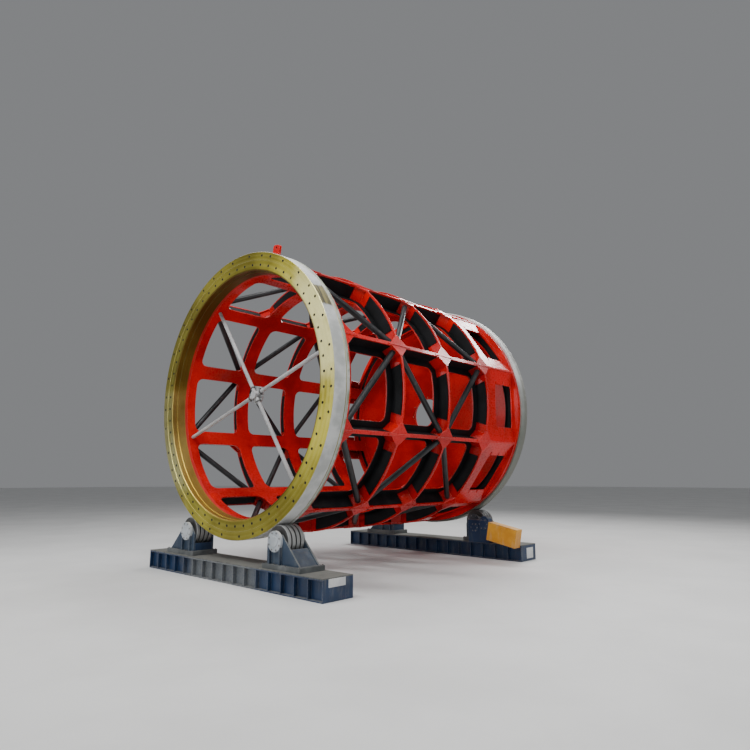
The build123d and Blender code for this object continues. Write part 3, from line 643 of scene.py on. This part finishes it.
def facing(x, y, z, towards):
    """Place whose w axis points along a direction."""
    turned = Vector(towards).to_track_quat("Z", "Y").to_matrix().to_4x4()
    placed = Matrix.Translation((x, y, z)) @ turned
    return lambda u, v, w: placed @ Vector((u, v, w))


# Outlines and rows of places
def row_angles():
    return [FIRST_ROW + ROW_STEP * index for index in range(ROWS)]


def evenly(count, first=0.0):
    """Angles evenly round a circle, from a first one in degrees."""
    return [math.radians(first + 360.0 / count * step) for step in range(count)]


def on_circle(radius, turn, x=0.0, z=AXIS_HEIGHT):
    """The x and z of a point on a circle round an axis along Y."""
    return x + radius * math.cos(turn), z + radius * math.sin(turn)


def hexagon(radius):
    steps = [2.0 * math.pi * step / 6 for step in range(6)]
    return [(radius * math.cos(step), radius * math.sin(step)) for step in steps]


def rectangle(u_low, u_high, v_low, v_high):
    return [(u_low, v_low), (u_high, v_low), (u_high, v_high), (u_low, v_high)]


def bolt_head(shape, x, y, z, towards, radius):
    """Hexagon head on a washer."""
    at = facing(x, y, z, towards)
    washer = radius * 0.25
    shape.lathe([(radius * 1.55, 0.0), (radius * 1.5, washer)], at, 16)
    shape.prism(hexagon(radius), washer, washer + radius * 0.75, at)


# Rubber in the corners between the rows' and the hoops' webs, and on the rows' webs
CORNER_GAP = 0.004
CORNER_STEPS = 6
CORNER_ROW_END = 0.175
FIRST_HOOP_WEB, HOOP_WEB = 0.031, 0.016
PAD_INNER, PAD_OUTER, PAD_START = 0.0155, 0.030, 0.192
PAD_TOP, LAST_PAD_TOP = 0.238, 0.215
RUBBER_BEVEL = 0.003


def core_edge(v):
    """How far a gusset box reaches from the row, at a distance v from the hoop."""
    share = (v - CORE_HOOP_TIP) / (CORE_REACH - CORE_HOOP_TIP)
    return CORE_REACH + (CORE_ROW_TIP - CORE_REACH) * share


def corner_outline(web):
    """Outline of one corner's rubber, from the hoop's web round the window's corner to the row's web."""
    points = [(core_edge(web) + CORNER_GAP, web), (LINING_START, web), (LINING_START, HOOP_STRIP_HALF)]
    middle_u, middle_v = STRIP_HALF + WINDOW_CORNER, HOOP_STRIP_HALF + WINDOW_CORNER
    for step in range(CORNER_STEPS + 1):
        turn = math.radians(270.0 - 90.0 * step / CORNER_STEPS)
        points.append((middle_u + WINDOW_CORNER * math.cos(turn), middle_v + WINDOW_CORNER * math.sin(turn)))
    points += [(STRIP_HALF, LINING_START), (ROW_WEB, LINING_START), (ROW_WEB, CORNER_ROW_END)]
    points.append((CORE_ROW_TIP, CORE_REACH + CORNER_GAP))
    return points


corners = Shape("rubber_corners", RUBBER, "drum")
row_pads = Shape("rubber_row_pads", RUBBER, "drum")
for number, station in enumerate(HOOPS):
    sides = (1,) if number == 0 else (-1, 1)
    web = FIRST_HOOP_WEB if number == 0 else HOOP_WEB
    for angle in row_angles():
        for side in sides:
            top = LAST_PAD_TOP if number == 3 and side == 1 else PAD_TOP
            for hand in (-1, 1):
                outline = [(hand * u, side * v) for u, v in corner_outline(web)]
                corners.prism(outline, 0.0, LINING_THICKNESS, wrapped(angle, station, SHELL_OUTER))
                outline = rectangle(hand * PAD_INNER, hand * PAD_OUTER, side * PAD_START, side * LINING_START)
                row_pads.prism(outline, LINING_THICKNESS, top, straight(angle, station, SHELL_OUTER))
corners.done(RUBBER_BEVEL)
row_pads.done(RUBBER_BEVEL)

# Welds round the feet of the gusset boxes; the first hoop's boxes are cut off by the front ring
CORE = [
    (CORE_REACH, -CORE_HOOP_TIP),
    (CORE_REACH, CORE_HOOP_TIP),
    (CORE_ROW_TIP, CORE_REACH),
    (-CORE_ROW_TIP, CORE_REACH),
    (-CORE_REACH, CORE_HOOP_TIP),
    (-CORE_REACH, -CORE_HOOP_TIP),
    (-CORE_ROW_TIP, -CORE_REACH),
    (CORE_ROW_TIP, -CORE_REACH),
]
WELD_RADIUS, WELD_SIDES, WELD_STEPS, WELD_WOBBLE = 0.006, 6, 6, 0.35

welds = Shape("gusset_welds", RED, "drum")
for number, station in enumerate(HOOPS):
    whole = number > 0
    foot = CORE if whole else [point for point in CORE if point[1] > 0.0]
    for angle in row_angles():
        at_foot = wrapped(angle, station, SHELL_OUTER)
        line = []
        for (u, v), (next_u, next_v) in zip(foot, foot[1:] + foot[:1]):
            for step in range(WELD_STEPS):
                share = step / WELD_STEPS
                line.append(at_foot(u + (next_u - u) * share, v + (next_v - v) * share, 0.0))
        if not whole:
            line = line[:-WELD_STEPS]
        welds.bead(line, WELD_RADIUS, WELD_SIDES, whole, WELD_WOBBLE)
welds.done()

# Welds where the diagonal tubes meet the slanted sides of the gusset boxes
TUBE_WELD_RADIUS, TUBE_WELD_SIDES, TUBE_WELD_STEPS, TUBE_WELD_WOBBLE = 0.008, 8, 28, 0.25


def tube_weld(shape, angle, station, u_side, v_side, way):
    """Bead round a tube where it goes into the box side that faces it."""
    at = straight(angle, station, TUBE_CENTRE)
    middle = at(0.0, 0.0, 0.0)
    normal = at(u_side * (CORE_REACH - CORE_HOOP_TIP), v_side * (CORE_REACH - CORE_ROW_TIP), 0.0) - middle
    offset = normal.dot(at(u_side * CORE_REACH, v_side * CORE_HOOP_TIP, 0.0) - middle)
    aside = way.orthogonal().normalized()
    over = way.cross(aside)
    points = []
    for step in range(TUBE_WELD_STEPS):
        turn = 2.0 * math.pi * step / TUBE_WELD_STEPS
        point = (aside * math.cos(turn) + over * math.sin(turn)) * TUBE_RADIUS
        points.append(middle + point + way * ((offset - normal.dot(point)) / normal.dot(way)))
    shape.bead(points, TUBE_WELD_RADIUS, TUBE_WELD_SIDES, True, TUBE_WELD_WOBBLE)


tube_welds = Shape("tube_welds", RED, "drum")
for bay in range(len(HOOPS) - 1):
    near, far = (bay + 1, bay) if bay % 2 == 0 else (bay, bay + 1)
    along_side = far - near
    for start_row in range(0, ROWS, 2):
        start_angle = FIRST_ROW + ROW_STEP * start_row
        for side in (-1, 1):
            end_angle = start_angle + side * ROW_STEP
            start = straight(start_angle, HOOPS[near], TUBE_CENTRE)(0.0, 0.0, 0.0)
            end = straight(end_angle, HOOPS[far], TUBE_CENTRE)(0.0, 0.0, 0.0)
            way = (end - start).normalized()
            tube_weld(tube_welds, start_angle, HOOPS[near], side, along_side, way)
            tube_weld(tube_welds, end_angle, HOOPS[far], -side, -along_side, -way)
tube_welds.done()

# Bearing covers: bolts near the rim and a raised middle
COVER_BOLT_CIRCLE, COVER_BOLT_RADIUS = 0.138, 0.0105
COVER_HUB_PROFILE = [(0.088, 0.0), (0.088, 0.006), (0.082, 0.010)]

for stand, station, cover_look in (("front", FRONT_STATION, COVER), ("rear", REAR_STATION, DARK_COVER)):
    bolts = Shape(stand + "_cover_bolts", STEEL, "stand")
    hubs = Shape(stand + "_cover_hubs", cover_look, "stand")
    for hand in (-1, 1):
        for face in (-1, 1):
            y = station + face * COVER_FACE
            for turn in evenly(8, 22.5):
                x, z = on_circle(COVER_BOLT_CIRCLE, turn, hand * ROLLER_X, ROLLER_HEIGHT)
                bolt_head(bolts, x, y, z, (0.0, face, 0.0), COVER_BOLT_RADIUS)
            hubs.lathe(COVER_HUB_PROFILE, facing(hand * ROLLER_X, y, ROLLER_HEIGHT, (0.0, face, 0.0)), 40)
    bolts.done()
    hubs.done(0.002)

# Bolts that hold the beds to the decks
BED_BOLT_X = (1.075, 1.33, 1.62, 1.945)
BED_BOLT_ASIDE, BED_BOLT_RADIUS = 0.243, 0.013

for stand, station in (("front", FRONT_STATION), ("rear", REAR_STATION)):
    bolts = Shape(stand + "_bed_bolts", DARK_STEEL, "stand")
    for hand in (-1, 1):
        for x in BED_BOLT_X:
            for face in (-1, 1):
                y = station + face * BED_BOLT_ASIDE
                bolt_head(bolts, hand * x, y, BED_TOP, UP, BED_BOLT_RADIUS)
    bolts.done()

# Bare plates on the stands' right ends: lowest and highest y and z of each
PLATE_EDGES = ((-0.194, 0.149, 0.205, 0.325), (5.58, 5.85, 0.05, 0.27))
PLATE_THICKNESS = 0.004

plates = Shape("end_plates", PLATE, "stand")
for y_low, y_high, z_low, z_high in PLATE_EDGES:
    half_length, half_height = (y_high - y_low) / 2, (z_high - z_low) / 2
    at = facing(BASE_END, (y_low + y_high) / 2, (z_low + z_high) / 2, RIGHT)
    plates.prism(rectangle(-half_length, half_length, -half_height, half_height), 0.0, PLATE_THICKNESS, at)
plates.done(0.001)

# Bolts on both faces of the spider hub
HUB_BOLT_CIRCLE, HUB_BOLT_RADIUS = 0.135, 0.011

hub_bolts = Shape("hub_bolts", STEEL, "drum")
for turn in evenly(8, 22.5):
    x, z = on_circle(HUB_BOLT_CIRCLE, turn)
    bolt_head(hub_bolts, x, HUB_FRONT, z, FRONT, HUB_BOLT_RADIUS)
    bolt_head(hub_bolts, x, HUB_BACK, z, BACK, HUB_BOLT_RADIUS)
hub_bolts.done()

# Clamps that hold the arms next to the hub, each with two ears
CLAMP_REACH = 0.165
CLAMP_INNER, CLAMP_OUTER, CLAMP_HALF = 0.0340, 0.0430, 0.016
CLAMP_PROFILE = [
    (CLAMP_INNER, -CLAMP_HALF),
    (CLAMP_OUTER, -CLAMP_HALF),
    (CLAMP_OUTER, CLAMP_HALF),
    (CLAMP_INNER, CLAMP_HALF),
]
EAR_START, EAR_END, EAR_HALF_THICKNESS, EAR_HALF_WIDTH = 0.041, 0.066, 0.008, 0.014

clamps = Shape("hub_clamps", DARK_STEEL, "drum")
for row in ARM_ROWS:
    turn = FIRST_ROW + ROW_STEP * row
    x, z = on_circle(CLAMP_REACH, turn)
    at = facing(x, ARM_STATION, z, (math.cos(turn), 0.0, math.sin(turn)))
    clamps.lathe(CLAMP_PROFILE, at, 28, True)
    for hand in (-1, 1):
        ear = rectangle(-EAR_HALF_THICKNESS, EAR_HALF_THICKNESS, hand * EAR_START, hand * EAR_END)
        clamps.prism(ear, -EAR_HALF_WIDTH, EAR_HALF_WIDTH, at)
clamps.done(0.001)

# Countersinks of the front ring's tapped holes, near black as painted shade
SINK_PROFILE = [(0.0130, -0.004), (0.0130, 0.0), (0.0235, 0.0008), (0.0240, -0.001)]
inner_holes = evenly(INNER_CIRCLE_COUNT, 3.0)
outer_holes = [math.radians(36.0 * bay + turn) for bay in range(ROWS) for turn in OUTER_HOLE_TURNS]

countersinks = Shape("hole_countersinks", SINK_SHADE, "drum")
for radius, y, turns in ((INNER_CIRCLE, RING_FACE, inner_holes), (OUTER_CIRCLE, RING_FRONT, outer_holes)):
    for turn in turns:
        x, z = on_circle(radius, turn)
        countersinks.lathe(SINK_PROFILE, facing(x, y, z, FRONT), 20, True)
countersinks.done()

# Raised ring round the end plate's middle hole
END_RING_INNER, END_RING_OUTER, END_RING_HEIGHT = 0.405, 0.430, 0.006
END_RING_PROFILE = [
    (END_RING_INNER, 0.0),
    (END_RING_INNER, END_RING_HEIGHT),
    (END_RING_OUTER, END_RING_HEIGHT),
    (END_RING_OUTER, 0.0),
]

end_ring = Shape("end_plate_ring", RED, "drum")
end_ring.lathe(END_RING_PROFILE, facing(0.0, END_PLATE_FRONT, AXIS_HEIGHT, FRONT), 96, True)
end_ring.done(0.001)

# Covers on the gear case, with their bolts: x, z and radius of each
CASE_COVERS = ((1.46, 0.66, 0.095), (1.70, 0.74, 0.115))
CASE_EDGE, CASE_SHOULDER, CASE_TOP = 0.012, 0.016, 0.022
CASE_INNER_SHARE, CASE_BOLT_SHARE = 0.72, 0.86
CASE_BOLT_Y, CASE_BOLT_RADIUS = 5.237, 0.008

case_covers = Shape("gear_case_covers", BLUE, "stand")
case_bolts = Shape("gear_case_bolts", STEEL, "stand")
for middle_x, middle_z, radius in CASE_COVERS:
    inner = radius * CASE_INNER_SHARE
    profile = [(radius, 0.0), (radius, CASE_EDGE), (inner, CASE_SHOULDER), (inner, CASE_TOP)]
    case_covers.lathe(profile, facing(middle_x, CASE_FRONT, middle_z, FRONT), 40)
    for turn in evenly(6):
        x, z = on_circle(radius * CASE_BOLT_SHARE, turn, middle_x, middle_z)
        bolt_head(case_bolts, x, CASE_BOLT_Y, z, FRONT, CASE_BOLT_RADIUS)
case_covers.done(0.002)
case_bolts.done()

# Folded edges, seam and bolts of the sloping guard
HEM, HEM_THICKNESS = 0.024, 0.003
SEAM_HALF, SEAM_THICKNESS = 0.010, 0.002
GUARD_BOLT_SHARES, GUARD_BOLT_RADIUS = (-0.9, -0.3, 0.3, 0.9), 0.006


def on_guard(u, v, w):
    """Place on the guard's front: u along it, v up it and w out of it."""
    x = GUARD_X + u * math.cos(GUARD_TILT) - v * math.sin(GUARD_TILT)
    z = GUARD_HEIGHT + u * math.sin(GUARD_TILT) + v * math.cos(GUARD_TILT)
    return Vector((x, GUARD_FRONT - w, z))


guard_trim = Shape("guard_trim", GUARD, "stand")
guard_bolts = Shape("guard_bolts", STEEL, "stand")
inner_length, inner_height = GUARD_HALF_LENGTH - HEM, GUARD_HALF_HEIGHT - HEM
for hand in (-1, 1):
    long_edge = sorted((hand * inner_height, hand * GUARD_HALF_HEIGHT))
    short_edge = sorted((hand * inner_length, hand * GUARD_HALF_LENGTH))
    for outline in (
        rectangle(-GUARD_HALF_LENGTH, GUARD_HALF_LENGTH, *long_edge),
        rectangle(*short_edge, -inner_height, inner_height),
    ):
        guard_trim.prism(outline, 0.0, HEM_THICKNESS, on_guard)
    for share in GUARD_BOLT_SHARES:
        place = on_guard(share * inner_length, hand * (inner_height + HEM / 2), HEM_THICKNESS)
        bolt_head(guard_bolts, *place, FRONT, GUARD_BOLT_RADIUS)
seam = rectangle(-SEAM_HALF, SEAM_HALF, -inner_height, inner_height)
guard_trim.prism(seam, 0.0, SEAM_THICKNESS, on_guard)
guard_trim.done(0.001)
guard_bolts.done()

# Cooling ribs round the top and sides of the motor
RIB_COUNT, RIB_START, RIB_SWEEP = 20, -40.0, 260.0
RIB_HALF_THICKNESS, RIB_HALF_LENGTH, RIB_FOOT, RIB_TOP = 0.002, 0.13, -0.002, 0.012

motor_ribs = Shape("motor_ribs", BLUE, "stand")
rib = rectangle(-RIB_HALF_THICKNESS, RIB_HALF_THICKNESS, -RIB_HALF_LENGTH, RIB_HALF_LENGTH)
to_motor = Vector((MOTOR_X, 0.0, MOTOR_HEIGHT - AXIS_HEIGHT))
for step in range(RIB_COUNT):
    turn = math.radians(RIB_START + RIB_SWEEP * step / (RIB_COUNT - 1))
    motor_ribs.prism(rib, RIB_FOOT, RIB_TOP, shifted(straight(turn, MOTOR_STATION, MOTOR_RADIUS), to_motor))
motor_ribs.done()

# Floor, lights and camera
FLOOR_RADIUS = 90.0
FLOOR_PLACE = (0.0, 3.0, -0.002)


def floor_look():
    look = Look("studio_floor", specular=0.3)
    colour = look.mix(look.span(look.noise(0.6, 3.0), 0.3, 0.7), FLOOR_DARK, FLOOR_LIGHT)
    return look.finish(colour, look.gloss(look.noise(8.0), 0.55, 0.7), look.noise(60.0), 0.03)


floor_mesh = bpy.data.meshes.new("studio_floor")
circle = bmesh.new()
bmesh.ops.create_circle(circle, cap_ends=True, segments=96, radius=FLOOR_RADIUS)
bmesh.ops.translate(circle, verts=circle.verts, vec=FLOOR_PLACE)
circle.to_mesh(floor_mesh)
circle.free()
floor = bpy.data.objects.new("studio_floor", floor_mesh)
bpy.context.scene.collection.objects.link(floor)
floor_mesh.materials.append(floor_look())


def area_light(name, place, target, size, energy):
    data = bpy.data.lights.new(name, "AREA")
    data.shape = "RECTANGLE"
    data.size, data.size_y = size
    data.energy = energy
    light = bpy.data.objects.new(name, data)
    light.location = place
    light.rotation_euler = (Vector(target) - Vector(place)).to_track_quat("-Z", "Y").to_euler()
    light.visible_camera = False
    bpy.context.scene.collection.objects.link(light)


# Name, place, target, size in metres and power in watts
DRUM_CENTRE = (0.0, 2.8, 2.8)
area_light("roof_light_near", (3.0, -4.0, 11.0), DRUM_CENTRE, (16.0, 3.0), 1350.0)
area_light("roof_light_far", (-1.5, 14.5, 11.8), DRUM_CENTRE, (10.0, 1.6), 1500.0)
area_light("roof_light_middle", (-0.4, 2.2, 11.2), (2.3, 2.8, 2.6), (1.6, 6.0), 420.0)
area_light("roof_window", (6.7, 12.4, 10.0), (2.4, 2.9, 4.1), (1.3, 1.3), 260.0)
area_light("side_light", (12.0, 3.0, 7.0), DRUM_CENTRE, (3.0, 10.0), 230.0)
area_light("front_light", (-6.0, -12.0, 6.5), DRUM_CENTRE, (7.0, 3.0), 300.0)
area_light("ring_light", (3.5, -13.0, 4.9), (0.0, 0.0, 3.3), (13.0, 1.2), 420.0)

world = bpy.data.worlds.new("studio_air")
world.use_nodes = True
background = world.node_tree.nodes["Background"]
background.inputs["Color"].default_value = AIR
background.inputs["Strength"].default_value = 0.25
bpy.context.scene.world = world

# The camera that took the photograph, as solved from the rings, circles and rows
CAMERA_PLACE = (9.162, -6.363, 1.812)
LENS, SENSOR_WIDTH, CLIP_END = 28.72, 36.0, 400.0
LOOK_UP, HEADING = 9.49, 42.73

camera_data = bpy.data.cameras.new("photo_camera")
camera_data.lens = LENS
camera_data.sensor_width = SENSOR_WIDTH
camera_data.clip_end = CLIP_END
camera = bpy.data.objects.new("photo_camera", camera_data)
camera.location = CAMERA_PLACE
camera.rotation_euler = (math.radians(90.0 + LOOK_UP), 0.0, math.radians(HEADING))
bpy.context.scene.collection.objects.link(camera)
bpy.context.scene.camera = camera
